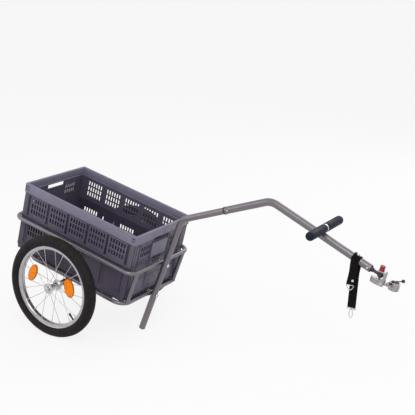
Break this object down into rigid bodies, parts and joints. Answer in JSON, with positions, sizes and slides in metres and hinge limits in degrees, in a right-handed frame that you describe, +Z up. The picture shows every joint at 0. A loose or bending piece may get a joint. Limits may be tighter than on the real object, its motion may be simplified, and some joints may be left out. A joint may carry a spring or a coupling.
{
  "type": "bicycle trailer",
  "caption": "Two-wheeled bicycle cargo trailer: folding plastic crate in a tube frame, bent drawbar with stand, grip handle, safety strap and seat-post coupling.",
  "frame": {"origin": "on the ground, under the middle of the trailer's bounding box", "axes": "+X forward along the drawbar, +Y to the trailer's left, +Z up; the trailer stands nose down on its two tyres and its leg"},
  "size_m": [1.5332, 0.6086, 0.6379],
  "materials": {
    "frame_paint": "satin silver grey paint",
    "black_paint": "semi gloss black paint",
    "tyre": "moulded black rubber with a fine tread",
    "inner_tube": "smooth black rubber",
    "rim_alloy": "brushed",
    "bright_steel": "zinc plated",
    "cast_alloy": "cast and tumbled",
    "amber_lens": "prismatic amber reflector",
    "crate_plastic": "moulded, fine grain",
    "grip_foam": "closed cell foam",
    "webbing": "woven polyester webbing",
    "red_plastic": "smooth",
    "black_plastic": "moulded",
    "lever_black": "black oxide with a dipped knob"
  },
  "bodies": {
    "frame": {"axle_tube": "black_paint", "mid_rail": "frame_paint", "floor_rail": "frame_paint", "front_post_right": "frame_paint", "front_post_left": "frame_paint", "floor_bar_rear": "frame_paint", "floor_bar_front": "frame_paint", "drawbar_rear": "frame_paint", "foot_plug": "black_plastic", "leg_bolt_upper": "black_paint", "leg_bolt_lower": "black_paint", "drawbar_front": "frame_paint", "handle_tube": "bright_steel", "grip_right": "grip_foam", "grip_left": "grip_foam", "end_bush": "black_plastic", "right_stub_axle": "bright_steel", "left_stub_axle": "bright_steel", "safety_strap": "webbing", "strap_bolt": "bright_steel", "strap_rivet": "bright_steel", "strap_end_bar": "bright_steel"},
    "right_wheel": {"right_tyre": "tyre", "right_inner_tube": "inner_tube", "right_wheel_rim": "rim_alloy", "right_hub_and_spokes": "bright_steel", "right_reflector_1": "amber_lens", "right_reflector_2": "amber_lens", "right_bearing_inner": "bright_steel", "right_bearing_outer": "bright_steel"},
    "left_wheel": {"left_tyre": "tyre", "left_inner_tube": "inner_tube", "left_wheel_rim": "rim_alloy", "left_hub_and_spokes": "bright_steel", "left_reflector_1": "amber_lens", "left_reflector_2": "amber_lens", "left_bearing_inner": "bright_steel", "left_bearing_outer": "bright_steel"},
    "crate": {"crate_rim_right": "crate_plastic", "crate_rim_left": "crate_plastic", "crate_rim_rear": "crate_plastic", "crate_rim_front": "crate_plastic", "crate_base": "crate_plastic", "right_wall_upper": "crate_plastic", "right_wall_lower": "crate_plastic", "left_wall_upper": "crate_plastic", "left_wall_lower": "crate_plastic"},
    "rear_wall": {"rear_end_wall": "crate_plastic"},
    "front_wall": {"front_end_wall": "crate_plastic"},
    "button": {"drawbar_button": "bright_steel"},
    "strap_ring": {"strap_d_ring": "bright_steel"},
    "strap_hook": {"snap_ring": "bright_steel"},
    "swivel": {"swivel_shank": "black_paint"},
    "coupling": {"coupling_head": "cast_alloy", "king_pin": "bright_steel", "pitch_pin": "bright_steel"},
    "knob": {"release_knob": "red_plastic"},
    "clamp": {"clamp_body": "cast_alloy"},
    "gate": {"clamp_gate": "cast_alloy"},
    "lever": {"clamp_lever": "lever_black"}
  },
  "joints": [
    {"name": "right_wheel_spin", "type": "hinge", "parent": "frame", "child": "right_wheel", "pos_m": [-0.50432, -0.265, 0.19887], "axis": [0, 1, 0], "continuous": true},
    {"name": "left_wheel_spin", "type": "hinge", "parent": "frame", "child": "left_wheel", "pos_m": [-0.50432, 0.265, 0.19887], "axis": [0, 1, 0], "continuous": true},
    {"name": "crate_lift", "type": "slide", "parent": "frame", "child": "crate", "axis": [0.1963, 0, 0.9806], "range_m": [0, 0.3]},
    {"name": "rear_wall_fold", "type": "hinge", "parent": "crate", "child": "rear_wall", "pos_m": [-0.71791, 0, 0.51004], "axis": [0, -1, 0], "range_deg": [0, 90]},
    {"name": "front_wall_fold", "type": "hinge", "parent": "crate", "child": "front_wall", "pos_m": [-0.19919, 0, 0.40622], "axis": [0, 1, 0], "range_deg": [0, 90]},
    {"name": "button_press", "type": "slide", "parent": "frame", "child": "button", "axis": [0, 1, 0], "range_m": [0, 0.003], "stiffness_N_per_m": 500, "springref_m": -0.002},
    {"name": "strap_ring_swing", "type": "hinge", "parent": "frame", "child": "strap_ring", "pos_m": [0.57221, -0.0014, 0.3977], "axis": [-1, 0, 0], "range_deg": [0, 80]},
    {"name": "strap_hook_swing", "type": "hinge", "parent": "frame", "child": "strap_hook", "pos_m": [0.58421, 0.001, 0.311], "axis": [1, 0, 0], "range_deg": [-60, 60]},
    {"name": "hitch_roll", "type": "hinge", "parent": "frame", "child": "swivel", "pos_m": [0.63809, 0, 0.47287], "axis": [0.9274, 0, -0.3741], "continuous": true},
    {"name": "hitch_yaw", "type": "hinge", "parent": "swivel", "child": "coupling", "pos_m": [0.67306, 0, 0.45877], "axis": [0.1963, 0, 0.9806], "range_deg": [-80, 80]},
    {"name": "knob_pull", "type": "slide", "parent": "coupling", "child": "knob", "axis": [0.1963, 0, 0.9806], "range_m": [0, 0.004], "stiffness_N_per_m": 500, "springref_m": -0.002},
    {"name": "hitch_pitch", "type": "hinge", "parent": "coupling", "child": "clamp", "pos_m": [0.68335, 0, 0.43376], "axis": [0, -1, 0], "range_deg": [-18, 18]},
    {"name": "gate_open", "type": "hinge", "parent": "clamp", "child": "gate", "pos_m": [0.72748, 0.0225, 0.44788], "axis": [0.1963, 0, 0.9806], "range_deg": [0, 100]},
    {"name": "lever_open", "type": "hinge", "parent": "clamp", "child": "lever", "pos_m": [0.71757, -0.0225, 0.4417], "axis": [-0.1963, 0, -0.9806], "range_deg": [0, 120]}
  ]
}
